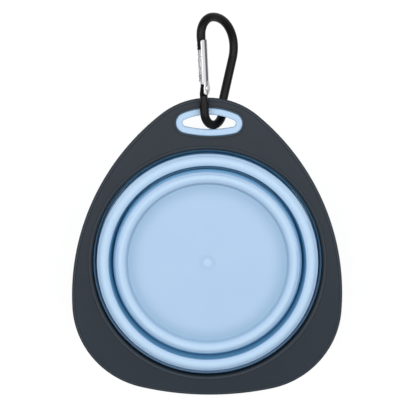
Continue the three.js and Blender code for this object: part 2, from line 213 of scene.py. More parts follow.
class Shell:
    """A mesh in the making, in millimetres.

    Attributes:
        END_REACH: How far the rounded end of a sweep stands out, in radii.
        END_FLAT: The radius of the flat on such an end, in radii.
    """

    END_REACH = 0.3
    END_FLAT = 0.72

    def __init__(self, place: Matrix | None = None) -> None:
        """Starts an empty mesh.

        Args:
            place: How its points are placed, or None to leave them as they are given.
        """
        self.bm = bmesh.new()
        self.uv = self.bm.loops.layers.uv.new("run")
        # Marks of painted light: edge paints highlights (a dark reflection on the gate, a plain tint on the
        # slot's ring); deep and dim paint shade.
        self.edge = self.bm.verts.layers.float.new("edge")
        self.deep = self.bm.verts.layers.float.new("deep")
        self.dim = self.bm.verts.layers.float.new("dim")
        self.place = place or Matrix.Identity(4)

    def loop(
        self, points: Iterable[Sequence[float]], edge: float = 0.0, deep: float = 0.0, dim: float = 0.0
    ) -> Loop:
        """Adds a closed loop of points.

        Args:
            points: The points, before they are placed.
            edge: How much of the lighter tone the loop takes, from 0 to 1: mostly a painted highlight, a
                plain tint on the slot's ring.
            deep: How much painted shade of a deep fold or wall it takes.
            dim: How much painted shade of a dim corner it takes.

        Returns:
            The vertices of the loop.
        """
        verts = [self.bm.verts.new(self.place @ Vector(p)) for p in points]
        for vert in verts:
            vert[self.edge] = edge
            vert[self.deep] = deep
            vert[self.dim] = dim
        return verts

    def skin(self, loops: Sequence[Loop], closed: bool = False) -> None:
        """Joins loops of equal length with quads, with UVs round and along in millimetres.

        Args:
            loops: The loops, in order.
            closed: True where the last loop is joined to the first.
        """
        pairs = list(zip(loops, loops[1:]))
        if closed:
            pairs.append((loops[-1], loops[0]))
        run = 0.0
        for low, high in pairs:
            next_run = run + (low[0].co - high[0].co).length
            around = 0.0
            for i in range(len(low)):
                j = (i + 1) % len(low)
                end = around + (low[i].co - low[j].co).length
                face = self.bm.faces.new((low[i], low[j], high[j], high[i]))
                marks = ((around, run), (end, run), (end, next_run), (around, next_run))
                for corner, mark in zip(face.loops, marks):
                    corner[self.uv].uv = mark
                around = end
            run = next_run

    def tube(self, loops: Sequence[Loop]) -> list[bmesh.types.BMFace]:
        """Joins loops into a tube, closes both its ends and gives the two caps."""
        self.skin(loops)
        return [self.bm.faces.new(loops[0][::-1]), self.bm.faces.new(loops[-1])]

    def fill(self, *loops: Loop) -> None:
        """Fills the flat region between an outer loop and the loops of its holes."""
        edges = [self.bm.edges.get((a, b)) for loop in loops for a, b in zip(loop, loop[1:] + loop[:1])]
        bmesh.ops.triangle_fill(self.bm, use_beauty=True, edges=edges)

    def rings(self, profile: Sequence[Pair], steps: int, mark: MarkRule) -> list[Loop]:
        """Turns each point of a profile of (radius, z) about the Z axis into a loop."""
        return [self.loop(circle(r, z, steps), *mark((r, z))) for r, z in profile]

    def spin(self, profile: Sequence[Pair], mark: MarkRule) -> None:
        """Turns a closed profile about the Z axis into a ring."""
        self.skin(self.rings(profile, RING_STEPS, mark), closed=True)

    def turn(self, profile: Sequence[Pair], steps: int = RING_STEPS, mark: MarkRule = unmarked) -> None:
        """Turns a profile about the Z axis and closes both its ends with caps."""
        self.tube(self.rings(profile, steps, mark))

    def prism(self, outline: Sequence[Pair], low: float, high: float, round_by: float) -> None:
        """Raises an outline from low to high and rounds its rims.

        Args:
            outline: The points of the outline.
            low: The height of its lower end.
            high: The height of its upper end.
            round_by: How far its rims are rounded.
        """
        caps = self.tube([self.loop(level(outline, low)), self.loop(level(outline, high))])
        rims = list({e for cap in caps for e in cap.edges})
        bmesh.ops.bevel(
            self.bm,
            geom=rims,
            offset=round_by,
            segments=3,
            profile=0.5,
            affect="EDGES",
            material=-1,
            clamp_overlap=True,
        )

    def sweep(self, line: Sequence[Vector], radii: Sequence[float], sides: int, flat: Vector) -> None:
        """Sweeps a circle along a line and rounds its two ends.

        Args:
            line: The points of the middle line.
            radii: The radius at each point.
            sides: Points round the section.
            flat: A direction that is never along the line, from which the section is turned.
        """
        rings: list[tuple[Vector, Vector, float]] = []
        last = len(line) - 1
        swell = 1 - self.END_FLAT
        for i, (point, radius) in enumerate(zip(line, radii)):
            ahead = (line[min(i + 1, last)] - line[max(i - 1, 0)]).normalized()
            if i in (0, last):
                out = (-ahead if i == 0 else ahead) * radius * self.END_REACH
                cap = [
                    (point + out * sin(a), ahead, radius * (self.END_FLAT + swell * cos(a)))
                    for a in (pi / 2, pi / 3, pi / 6, 0)
                ]
                rings += cap if i == 0 else cap[::-1]
            else:
                rings.append((point, ahead, radius))
        loops = []
        for point, ahead, radius in rings:
            side = ahead.cross(flat).normalized()
            up = side.cross(ahead)
            spokes = (side * cos(t) + up * sin(t) for t in turns(sides))
            loops.append(self.loop([point + spoke * radius for spoke in spokes]))
        self.tube(loops)

    def finish(
        self, name: str, body: Body | None, slot: Slot, material: Material, sharp: float = 38
    ) -> Object:
        """Makes the object, smooth except at sharp folds, and lets it ride on its body.

        Args:
            name: The name of the piece.
            body: The body it rides on, or None where it rides on none.
            slot: The material slot of the record; not used.
            material: The finish of the piece.
            sharp: The angle in degrees over which a fold is sharp.

        Returns:
            The finished piece.
        """
        bm = self.bm
        bmesh.ops.scale(bm, vec=(MM, MM, MM), verts=bm.verts)
        bmesh.ops.translate(bm, vec=(0, 0, BASE_Z * MM), verts=bm.verts)
        bmesh.ops.recalc_face_normals(bm, faces=bm.faces)
        for face in bm.faces:
            face.smooth = True
        for fold in bm.edges:
            if len(fold.link_faces) == 2 and fold.calc_face_angle(0) > radians(sharp):
                fold.smooth = False
        mesh = bpy.data.meshes.new(name)
        bm.to_mesh(mesh)
        bm.free()
        mesh.materials.append(material)
        piece = linked(name, mesh)
        if body:
            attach(piece, body.value)
        return piece


class Tree:
    """A node tree with short ways to add and join nodes."""

    def __init__(self, tree: NodeTree) -> None:
        """Takes the tree to work on."""
        self.tree = tree

    @classmethod
    def cleared(cls, owner: Material | World) -> Tree:
        """Turns nodes on for a material or a world and empties its tree.

        Args:
            owner: The material or the world.

        Returns:
            Its empty tree.
        """
        owner.use_nodes = True
        owner.node_tree.nodes.clear()
        return cls(owner.node_tree)

    def fill(self, node: Node, values: dict) -> None:
        """Fills the sockets of a node.

        Args:
            node: The node.
            values: Values or links, by the name or the place of a socket.
        """
        for name, value in values.items():
            socket = node.inputs[name]
            if isinstance(value, Socket):
                self.tree.links.new(value, socket)
            else:
                socket.default_value = value

    def add(self, kind: str, values: dict | None = None, **settings: object) -> Node:
        """Adds a node, sets its properties and fills its sockets.

        Args:
            kind: The type of the node.
            values: Values or links, by the name or the place of a socket.
            **settings: The properties of the node.

        Returns:
            The node.
        """
        node = self.tree.nodes.new(kind)
        for name, value in settings.items():
            setattr(node, name, value)
        self.fill(node, values or {})
        return node


def group_of(name: str, inputs: Sequence[str], values: Sequence[str]) -> tuple[Tree, Node, Node]:
    """Starts a node group that gives a normal and some values.

    Args:
        name: The name of the group.
        inputs: The names of the numbers it takes.
        values: The names of the numbers it gives.

    Returns:
        The group's tree, its input node and its output node.
    """
    tree = bpy.data.node_groups.new(name, "ShaderNodeTree")
    tree.interface.new_socket("Normal", in_out="OUTPUT", socket_type="NodeSocketVector")
    for way, labels in (("INPUT", inputs), ("OUTPUT", values)):
        for label in labels:
            tree.interface.new_socket(label, in_out=way, socket_type="NodeSocketFloat")
    kit = Tree(tree)
    return kit, kit.add("NodeGroupInput"), kit.add("NodeGroupOutput")


def noise(kit: Tree, where: Socket, scale: float | Socket, detail: float, roughness: float = 0.5) -> Socket:
    """Gives the value of a noise at a place."""
    values = {"Vector": where, "Scale": scale, "Detail": detail, "Roughness": roughness}
    return kit.add("ShaderNodeTexNoise", values).outputs["Fac"]


def raised(kit: Tree, height: Socket, strength: Socket, distance: float) -> Socket:
    """Gives the normal of a surface raised by a height."""
    values = {"Height": height, "Strength": strength, "Distance": distance}
    return kit.add("ShaderNodeBump", values).outputs["Normal"]


def mapped(kit: Tree, value: Socket, start: float, end: float, low: float = 0, high: float = 1) -> Socket:
    """Maps a value between a start and an end to a range."""
    values = {"Value": value, "From Min": start, "From Max": end, "To Min": low, "To Max": high}
    return kit.add("ShaderNodeMapRange", values).outputs["Result"]


def spread(kit: Tree, value: Socket, low: float = 0, high: float = 1) -> Socket:
    """Maps a noise value about its middle to a range."""
    return mapped(kit, value, 0.3, 0.7, low, high)


def moulded_skin() -> NodeTree:
    """Makes a moulded surface: a fine grain in its normal, and slow and fine changes of tone.

    Returns:
        The node group.
    """
    kit, given, out = group_of("moulded_skin", ("Grain", "Height"), ("Slow", "Fine"))
    where = kit.add("ShaderNodeTexCoord").outputs["Object"]
    fine = noise(kit, where, given.outputs["Grain"], detail=4.0, roughness=0.6)
    slow = noise(kit, where, scale=38.0, detail=3.0)
    normal = raised(kit, fine, given.outputs["Height"], distance=0.00004)
    kit.fill(out, {"Normal": normal, "Slow": slow, "Fine": fine})
    return kit.tree


def drawn_skin() -> NodeTree:
    """Makes a drawn or rolled metal surface: long lines in its normal and tone, and a few fine scuffs.

    Returns:
        The node group.
    """
    kit, given, out = group_of("drawn_skin", ("Lines", "Height"), ("Tone", "Scuff"))
    where = kit.add("ShaderNodeUVMap", uv_map="run").outputs["UV"]
    stretch = kit.add("ShaderNodeMapping", {"Vector": where, "Scale": (1.0, 0.04, 1.0)}).outputs["Vector"]
    lines = noise(kit, stretch, given.outputs["Lines"], detail=5.0)
    scuffs = noise(kit, kit.add("ShaderNodeTexCoord").outputs["Object"], scale=620.0, detail=3.0)
    few = mapped(kit, scuffs, 0.62, 0.74)
    normal = raised(kit, lines, given.outputs["Height"], distance=0.00003)
    kit.fill(out, {"Normal": normal, "Tone": lines, "Scuff": few})
    return kit.tree


def fresh_material(name: str) -> tuple[Tree, Node, Material]:
    """Makes a material with one Principled shader joined to its output.

    Args:
        name: The name of the material.

    Returns:
        Its tree, its shader and the material.
    """
    material = bpy.data.materials.new(name)
    kit = Tree.cleared(material)
    shader = kit.add("ShaderNodeBsdfPrincipled")
    kit.add("ShaderNodeOutputMaterial", {"Surface": shader.outputs["BSDF"]})
    return kit, shader, material


def marked(kit: Tree, name: str) -> Socket:
    """Reads one of the marks that a mesh carries."""
    return kit.add("ShaderNodeAttribute", attribute_name=name).outputs["Fac"]


def blended(kit: Tree, factor: Socket, first: Tone | Socket, second: Tone) -> Socket:
    """Mixes two colours.

    Args:
        kit: The tree of the material.
        factor: How much of the second colour is taken.
        first: The first colour, which may be mixed already.
        second: The second colour.

    Returns:
        The mixed colour.
    """
    first_colour, second_colour, mixed_colour = 6, 7, 2
    mix = kit.add("ShaderNodeMix", {"Factor": factor}, data_type="RGBA")
    start = first if isinstance(first, Socket) else (*first, 1)
    kit.fill(mix, {first_colour: start, second_colour: (*second, 1)})
    return mix.outputs[mixed_colour]


@dataclass(frozen=True, kw_only=True)
class Finish:
    """What every finish has.

    Attributes:
        name: The name of the material.
        tone: Its main colour.
        shade: A second colour that drifts through the first.
        roughness: Its lowest and highest roughness.
        height: How strong its relief is.
        specular: The strength of its sheen.
    """

    name: str
    tone: Tone
    shade: Tone
    roughness: Pair
    height: float
    specular: float = 0.5


@dataclass(frozen=True, kw_only=True)
class MouldedFinish(Finish):
    """Moulded plastic or elastomer.

    Attributes:
        highlight_and_tint: The lighter colour: a painted highlight on crests, beads and the rim's ledge, a
            plain tint on the slot's ring.
        deep: The colour of painted shade in deep folds and down walls.
        dim: The colour of painted shade in dim corners.
        grain: How fine the grain is.
    """

    highlight_and_tint: Tone
    deep: Tone
    dim: Tone
    grain: float

    def make(self, skin: NodeTree) -> Material:
        """Builds the material.

        Args:
            skin: The moulded surface that gives its grain and changes of tone.

        Returns:
            The material.
        """
        kit, shader, material = fresh_material(self.name)
        group = kit.add("ShaderNodeGroup", {"Grain": self.grain, "Height": self.height}, node_tree=skin)
        colour = blended(kit, spread(kit, group.outputs["Slow"]), self.tone, self.shade)
        # The edge mark mixes in a painted highlight, and the deep and dim marks mix in painted shade.
        for mark, tone in (("edge", self.highlight_and_tint), ("deep", self.deep), ("dim", self.dim)):
            colour = blended(kit, marked(kit, mark), colour, tone)
        sockets = {
            "Base Color": colour,
            "Roughness": spread(kit, group.outputs["Fine"], *self.roughness),
            "Normal": group.outputs["Normal"],
            "Specular IOR Level": self.specular,
        }
        kit.fill(shader, sockets)
        return material


@dataclass(frozen=True, kw_only=True)
class MetalFinish(Finish):
    """Drawn or rolled metal.

    Attributes:
        scuffed: The colour of its scuffs.
        fold: The dark colour of marked strips, a painted dark reflection.
        metallic: 1 for bare metal and 0 for a coated one.
        lines: How fine the lines are.
    """

    scuffed: Tone
    fold: Tone
    metallic: float
    lines: float

    def make(self, skin: NodeTree) -> Material:
        """Builds the material.

        Args:
            skin: The drawn surface that gives its lines and scuffs.

        Returns:
            The material.
        """
        kit, shader, material = fresh_material(self.name)
        group = kit.add("ShaderNodeGroup", {"Lines": self.lines, "Height": self.height}, node_tree=skin)
        tone = blended(kit, spread(kit, group.outputs["Tone"]), self.tone, self.shade)
        scuffed = blended(kit, group.outputs["Scuff"], tone, self.scuffed)
        # The edge mark mixes in the fold colour, a painted dark reflection on the gate's plates.
        sockets = {
            "Base Color": blended(kit, marked(kit, "edge"), scuffed, self.fold),
            "Roughness": spread(kit, group.outputs["Tone"], *self.roughness),
            "Normal": group.outputs["Normal"],
            "Metallic": self.metallic,
            "Specular IOR Level": self.specular,
        }
        kit.fill(shader, sockets)
        return material


# Charcoal: the lighter colour paints a highlight on the raised beads, the deep colour paints shade down the
# walls.
CHARCOAL = MouldedFinish(
    name="charcoal_plastic",
    tone=(0.018, 0.027, 0.038),
    shade=(0.015, 0.023, 0.033),
    highlight_and_tint=(0.034, 0.043, 0.054),
    deep=(0.003, 0.005, 0.008),
    dim=(0.003, 0.005, 0.008),
    roughness=(0.38, 0.48),
    grain=3600,
    height=0.35,
    specular=0.2,
)
# Sky blue: the lighter colour paints crest and ledge highlights and tints the slot's ring; deep and dim paint
# shade.
SKY_SOFT = MouldedFinish(
    name="sky_elastomer",
    tone=(0.420, 0.592, 0.808),
    shade=(0.402, 0.576, 0.796),
    highlight_and_tint=(0.500, 0.682, 0.880),
    deep=(0.170, 0.460, 0.710),
    dim=(0.100, 0.250, 0.400),
    roughness=(0.46, 0.60),
    grain=2400,
    height=0.18,
)
ANODISED = MetalFinish(
    name="black_anodised",
    tone=(0.002, 0.002, 0.003),
    shade=(0.004, 0.004, 0.005),
    scuffed=(0.016, 0.016, 0.017),
    fold=(0.002, 0.002, 0.003),
    metallic=0.0,
    roughness=(0.16, 0.24),
    lines=6,
    height=0.2,
    specular=0.12,
)
# Rolled silver: the fold colour paints a dark reflection along a strip of the gate's plates.
ROLLED = MetalFinish(
    name="rolled_silver",
    tone=(0.86, 0.86, 0.87),
    shade=(0.76, 0.76, 0.78),
    scuffed=(0.66, 0.66, 0.68),
    fold=(0.09, 0.09, 0.10),
    metallic=1.0,
    roughness=(0.20, 0.30),
    lines=2,
    height=0.02,
)
STEEL = MetalFinish(
    name="plain_steel",
    tone=(0.62, 0.62, 0.63),
    shade=(0.50, 0.50, 0.52),
    scuffed=(0.42, 0.42, 0.44),
    fold=(0.42, 0.42, 0.44),
    metallic=1.0,
    roughness=(0.24, 0.38),
    lines=7,
    height=0.2,
)


@dataclass
class Finishes:
    """The materials of every piece, by use."""

    plastic: Material
    soft: Material
    black: Material
    silver: Material
    steel: Material

    @classmethod
    def make(cls) -> Finishes:
        """Makes the two shared skins and every material from them.

        Returns:
            The materials.
        """
        moulded = moulded_skin()
        drawn = drawn_skin()
        return cls(
            plastic=CHARCOAL.make(moulded),
            soft=SKY_SOFT.make(moulded),
            black=ANODISED.make(drawn),
            silver=ROLLED.make(drawn),
            steel=STEEL.make(drawn),
        )


@dataclass
class SlotShape:
    """The slot's outline: round ends joined by two arcs, the lower one flatter.

    Attributes:
        y: Where the middles of the round ends lie.
        half: Half its length.
        up: How far the upper arc rises over the middle line.
        down: How far the lower arc falls under it.
        end: The radius of its ends.
    """

    y: float = 72.0
    half: float = 13.3
    up: float = 4.2
    down: float = 3.05
    end: float = 1.8

    def outline(self, offset: float, steps: int = 40) -> Outline:
        """Gives the outline moved out by an offset.

        Args:
            offset: How far it is moved out.
            steps: How many points each of its arcs has.

        Returns:
            The points of the outline.
        """
        reach = self.half - self.end
        top, bottom = ((reach**2 + a**2 - self.end**2) / (2 * (a - self.end)) for a in (self.up, self.down))
        high = atan2(top - self.up, reach)
        low = atan2(self.down - bottom, reach)
        points = arc(0, self.y + self.up - top, top + offset, high, pi - high, steps)
        points += arc(-reach, self.y, self.end + offset, pi - high, pi - low, steps)
        points += arc(0, self.y - self.down + bottom, bottom + offset, -pi - low, low, steps)
        points += arc(reach, self.y, self.end + offset, low, high, steps)
        return points


@dataclass
class FramePlate:
    """The hard frame: a plate with raised edges, a hole with a collar under it, and a slot.

    Attributes:
        corner_start: The angle below the widest place at which a lower corner starts.
        panel: The height of the face between the raised edges.
        seam: The height of the mould's line round the outer edge.
        bead_highlight: How far below the face the painted highlight of a raised edge ends.
        wall_shade: How far below the face the painted shade of a wall starts and is full.
        rim_marks: How strong the outer edge's painted highlight is, and the painted shade of the wall under
            it.
        hole_marks: The same for the hole and the slot.
    """

    slot: SlotShape
    half: float = 69.15
    top: float = 84.65
    bottom: float = -69.0
    widest_y: float = -17.5
    top_radius: float = 38.5
    bottom_radius: float = 154.3
    corner_start: float = radians(2.86)
    hole: float = 58.6
    hole_steps: int = 256
    collar: float = 60.4
    collar_foot: float = 3.0
    face: float = 14.0
    under: float = 11.0
    panel: float = 13.65
    seam: float = 12.5
    bead_highlight: float = 0.12
    wall_shade: Pair = (0.1, 1.1)
    rim_marks: Pair = (0.55, 0.6)
    hole_marks: Pair = (0.45, 1.0)

    def outline(self, inset: float, steps: int = 44) -> Outline:
        """Gives the outline moved in by an inset, as a chain of tangent arcs.

        Args:
            inset: How far it is moved in.
            steps: How many points each of its arcs has.

        Returns:
            The points of the outline.
        """
        top_y = self.top - self.top_radius
        rise = top_y - self.widest_y
        side = (self.half**2 + rise**2 - self.top_radius**2) / (2 * (self.half - self.top_radius))
        side_x = self.half - side
        low_y = self.bottom + self.bottom_radius
        turn = self.corner_start
        way = Vector((cos(turn), -sin(turn)))
        start = Vector((side_x, self.widest_y)) + way * side
        across = start - Vector((0, low_y))
        spare = way.dot(across) - self.bottom_radius
        corner = (across.length_squared - self.bottom_radius**2) / (2 * spare)
        centre = start - way * corner
        head = atan2(rise, -side_x)
        low = atan2(centre.y - low_y, centre.x)
        right = arc(centre.x, centre.y, corner - inset, low, -turn, steps)
        right += arc(side_x, self.widest_y, side - inset, -turn, head, steps)
        crown = arc(0, top_y, self.top_radius - inset, head, pi - head, steps)
        left = arc(-side_x, self.widest_y, side - inset, pi - head, pi + turn, steps)
        left += arc(-centre.x, centre.y, corner - inset, pi + turn, pi - low, steps)
        base = arc(0, low_y, self.bottom_radius - inset, -pi - low, low, steps)
        return right + crown + left + base

    def marks(self, z: float, edge: float, deep: float) -> Marks:
        """Marks a raised edge with a painted highlight and the wall under it with painted shade."""
        below = self.face - z
        return edge * fall(below, 0.0, self.bead_highlight), deep * ramp(below, *self.wall_shade)

    def build(self, finishes: Finishes) -> Pieces:
        """Makes the frame from loops round its outline, its hole and its slot.

        Args:
            finishes: The materials of the pieces.

        Returns:
            The piece made.
        """
        shell = Shell()
        rim = rounded([
            (1.1, self.under), (0.0, self.under, 0.9),
            (0.0, self.seam - 0.06), (-0.03, self.seam), (0.0, self.seam + 0.06),
            (0.0, self.face, 1.0), (1.4, self.face, 0.22), (1.62, self.panel, 0.16), (1.95, self.panel),
        ], closed=False)
        mouth = rounded([
            (61.0, self.panel), (60.75, self.panel, 0.12), (60.5, self.face, 0.22),
            (self.hole, self.face, 1.5), (self.hole, self.collar_foot, 0.25),
            (self.collar, self.collar_foot, 0.4), (self.collar, self.under, 0.3),
            (self.collar + 0.5, self.under),
        ], closed=False)
        gap = rounded([
            (4.75, self.panel), (4.5, self.panel, 0.12), (4.25, self.face, 0.22), (3.45, self.face, 0.3),
            (3.45, self.under, 0.3), (3.9, self.under),
        ], closed=False)
        # The outer edge, the hole and the slot take a painted highlight on their beads and painted shade down
        # their walls.
        outer = [shell.loop(level(self.outline(i), z), *self.marks(z, *self.rim_marks)) for i, z in rim]
        hole = [shell.loop(circle(r, z, self.hole_steps), *self.marks(z, *self.hole_marks)) for r, z in mouth]
        slot = [shell.loop(level(self.slot.outline(o), z), *self.marks(z, *self.hole_marks)) for o, z in gap]
        for loops in (outer, hole, slot):
            shell.skin(loops)
        shell.fill(outer[-1], hole[0], slot[0])
        shell.fill(outer[0], hole[-1], slot[-1])
        piece = shell.finish("frame_plate", Body.FRAME, Slot.PLASTIC, finishes.plastic)
        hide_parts("frame")
        return [piece]


@dataclass
class SlotLiner:
    """The soft ring moulded round the slot, with a rib in the frame's groove.

    Attributes:
        light: How light the whole ring is.
        side_shade: How much painted shade its sides take.
        side_from: How far below its top that painted shade starts and is full.
    """

    slot: SlotShape
    wall: float = 3.2
    low: float = 10.85
    high: float = 14.15
    rib: float = 0.9
    rib_low: float = 12.0
    rib_high: float = 13.0
    light: float = 0.45
    side_shade: float = 0.6
    side_from: Pair = (0.1, 0.5)

    def build(self, finishes: Finishes) -> Pieces:
        """Makes the ring from loops round its section.

        Args:
            finishes: The materials of the pieces.

        Returns:
            The piece made.
        """
        section = rounded([
            (0.0, self.low, 0.7), (self.wall, self.low, 0.6), (self.wall, self.rib_low),
            (self.wall + self.rib, self.rib_low, 0.2), (self.wall + self.rib, self.rib_high, 0.2),
            (self.wall, self.rib_high), (self.wall, self.high, 0.6), (0.0, self.high, 0.7),
        ])
        shell = Shell()
        loops = []
        for offset, z in section:
            # Painted shade down the ring's sides; the whole ring also takes a plain lighter tint.
            deep = self.side_shade * ramp(self.high - z, *self.side_from)
            loops.append(shell.loop(level(self.slot.outline(offset), z), self.light, deep))
        shell.skin(loops, closed=True)
        piece = shell.finish("slot_ring", Body.FRAME, Slot.SOFT, finishes.soft)
        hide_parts("slot_liner")
        return [piece]


@dataclass
class SoftBowl:
    """The soft bowl, folded: rim, two thin walls that turn over, a band with a crest, and the floor.

    Attributes:
        top_1: Radius and height of the first crest's top.
        top_2: The same for the second crest.
        bend_1: How fast the first crest falls away from its top.
        bend_2: The same for the second crest.
        dome_step: The longest step over a crest.
        between: The radius between the two folds.
        outside: The radius from which a point belongs to the outer wall of the first fold.
        basin_edge: The radius up to which a point of the base belongs to the floor.
        wall_ends: The heights where a thin wall meets one body and the other; worked out in build and then
            not used.
        sharp: The angle in degrees over which a fold of the soft skin is sharp.
    """

    top_1: Pair = (53.0, 13.2)
    top_2: Pair = (44.4, 12.6)
    bend_1: float = 0.11
    bend_2: float = 0.16
    dome_step: float = 0.35
    between: float = 48.7
    outside: float = 54.0
    basin_edge: float = 43.2
    wall_ends: Pair = (0.6, 11.4)
    sharp: float = 60

    def __post_init__(self) -> None:
        """Draws the profiles of the five zones, each point a radius and a height."""
        self.rim = rounded([
            (56.8, 0.0, 0.5), (60.4, 0.0, 0.9), (60.4, 2.7, 0.3), (58.3, 2.7, 0.1), (58.3, 10.4, 0.05),
            (58.2, 10.4, 0.05), (57.8, 5.0, 1.5), (57.5, 1.6, 0.2), (56.8, 1.3, 0.05),
        ])
        self.upper = rounded([
            (55.5, 0.3, 0.35), (56.75, 0.3, 0.1), (56.75, 1.1, 0.2), (56.5, 1.5), (56.5, 12.0, 0.6),
            *self.dome(self.top_1, self.bend_1, 55.85, 55.35),
        ], steps=5)
        self.band = rounded([
            (47.9, 0.0, 0.5), (50.1, 0.0, 0.9), (51.8, 11.7, 0.6), (55.2, 11.2, 0.1),
            *self.dome(self.top_1, self.bend_1, 55.28, 51.1),
            (50.5, 12.62, 0.45), (48.8, 1.3, 0.4), (47.9, 1.3, 0.1),
        ])
        self.lower = rounded([
            (46.6, 0.3, 0.35), (47.85, 0.3, 0.1), (47.85, 1.1, 0.2), (47.6, 1.5), (48.4, 9.2, 0.9),
            (47.0, 11.65, 0.6), *self.dome(self.top_2, self.bend_2, 46.55, 46.05),
        ], steps=5)
        floor_rows = (39.0, 37.5, 36.0, 34.5, 33.0, 31.0, 28.0)
        moulding_mark = (
            (4.8, 10.3), (4.0, 10.27), (3.2, 10.2), (2.5, 10.17), (1.9, 10.23), (1.2, 10.35), (0.5, 10.4),
            (0.02, 10.4),
        )
        self.floor = rounded([
            (0.02, 8.7), (40.7, 8.7, 1.2), (43.3, 11.3, 0.9), (45.9, 11.0, 0.1),
            *self.dome(self.top_2, self.bend_2, 45.98, 43.2),
            (41.95, 11.8, 0.7), (40.7, 10.3, 0.6), *((r, 10.3) for r in floor_rows), *moulding_mark,
        ], closed=False)

    def dome(self, top: Pair, bend: float, start: float, end: float) -> Outline:
        """Gives points over a crest from one radius to another.

        Args:
            top: The radius and height of the crest's top.
            bend: How fast the crest falls away from it.
            start: The radius of the first point.
            end: The radius of the last point.

        Returns:
            The points, each a radius and a height.
        """
        steps = max(2, round(abs(end - start) / self.dome_step))
        radii = (start + (end - start) * k / steps for k in range(steps + 1))
        return [(r, top[1] - bend * (r - top[0]) ** 2) for r in radii]

    def folds(self, point: Pair) -> Marks:
        """Marks a point of the crests and folds with a painted highlight on each crest and painted shade down
        the folds.

        Args:
            point: The radius and height of the point.

        Returns:
            How much painted highlight, painted fold shade and painted corner shade the point takes.
        """
        r, z = point
        top = self.top_1[1] if r > self.between else self.top_2[1]
        below = top - z
        # Painted highlight along each crest's top.
        crest = fall(below, 0.0, 0.4)
        if r < self.between:
            # Painted shade down the inner fold.
            return crest, 0.85 * ramp(below, 1.0, 2.6)
        # Painted shade down the outer fold, darker still on the band's side.
        deep = ramp(below, 0.85, 1.85)
        if r > self.outside:
            # Painted shade at the foot of the outer wall, under the frame's edge.
            foot_shade = ramp(r, 55.9, 56.4) * fall(z, 5.0, 9.0)
            return crest, 0.7 * deep, 0.75 * foot_shade
        return crest, deep, 0.4 * deep

    def ledge(self, point: Pair) -> Marks:
        """Marks a point of the rim: painted shade at its foot, a painted highlight on its ledge and painted
        shade on its lip.

        Args:
            point: The radius and height of the point.

        Returns:
            How light, how deep and how dim the point is.
        """
        z = point[1]
        # Painted shade on the lip under the frame, a painted highlight on the ledge and painted shade at the
        # foot.
        lip = ramp(z, 9.9, 10.3)
        light = ramp(z, 5.0, 7.0) * (1.0 - lip)
        return light, 1.0 - light, lip

    def basin(self, point: Pair) -> Marks:
        """Marks a point of the base: a painted highlight on its crest, painted shade at the floor's edge, the
        moulding mark.

        Args:
            point: The radius and height of the point.

        Returns:
            How light, how deep and how dim the point is.
        """
        r, z = point
        if r > self.basin_edge:
            return self.folds(point)
        upper_side = ramp(z, 9.0, 10.0)
        # Painted highlight along the crest's top.
        crest = ramp(z, 12.1, 12.6)
        # Painted shade at the floor's edge, beside the crest.
        corner = ramp(r, 31.0, 39.5) ** 2 * fall(r, 40.8, 42.2)
        # A faintly darker ring and a lighter dot at the moulding mark.
        ring = ramp(r, 1.9, 2.5) * fall(r, 4.0, 4.8)
        dot = fall(r, 1.2, 2.5)
        return crest + 0.5 * dot * upper_side, 0.0, (0.40 * corner + 0.08 * ring) * upper_side

    def build(self, finishes: Finishes) -> Pieces:
        """Makes the five zones: the rim, band and base each on its body, the two thin walls on none.

        Args:
            finishes: The materials of the pieces.

        Returns:
            The pieces made.
        """
        soft = finishes.soft
        pieces: Pieces = []
        for name, profile, mark, body, node in (
            ("bowl_rim", self.rim, self.ledge, Body.FRAME, "rim_collar"),
            ("bowl_band", self.band, self.folds, Body.BAND, "mid_band"),
        ):
            shell = Shell()
            shell.spin(self.with_rows(profile, most=1.0), mark)
            pieces.append(shell.finish(name, body, Slot.SOFT, soft, self.sharp))
            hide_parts(node)
        low, high = ((0, 0, (z + BASE_Z) * MM) for z in self.wall_ends)
        for name, profile, bodies, node in (
            ("upper_wall", self.upper, (Body.FRAME, Body.BAND), "upper_fold"),
            ("lower_wall", self.lower, (Body.BAND, Body.FLOOR), "lower_fold"),
        ):
            shell = Shell()
            shell.spin(self.with_rows(profile, most=0.5), self.folds)
            piece = shell.finish(name, None, Slot.SOFT, soft, self.sharp)
            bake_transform(piece)
            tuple(low)
            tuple(high)
            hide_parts(node)
            pieces.append(piece)
        shell = Shell()
        shell.turn(self.floor, mark=self.basin)
        base = shell.finish("bowl_base", Body.FLOOR, Slot.SOFT, soft, self.sharp)
        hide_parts("bowl_floor")
        return [*pieces, base]

    @staticmethod
    def with_rows(profile: Outline, most: float) -> Outline:
        """Splits the long sides of a profile into shorter ones.

        Args:
            profile: The points of a closed profile.
            most: The longest side that stays whole.

        Returns:
            The points with those of the splits.
        """
        points: Outline = []
        for (r0, z0), (r1, z1) in zip(profile, profile[1:] + profile[:1]):
            cuts = max(1, ceil(hypot(r1 - r0, z1 - z0) / most))
            points += [(r0 + (r1 - r0) * k / cuts, z0 + (z1 - z0) * k / cuts) for k in range(cuts)]
        return points


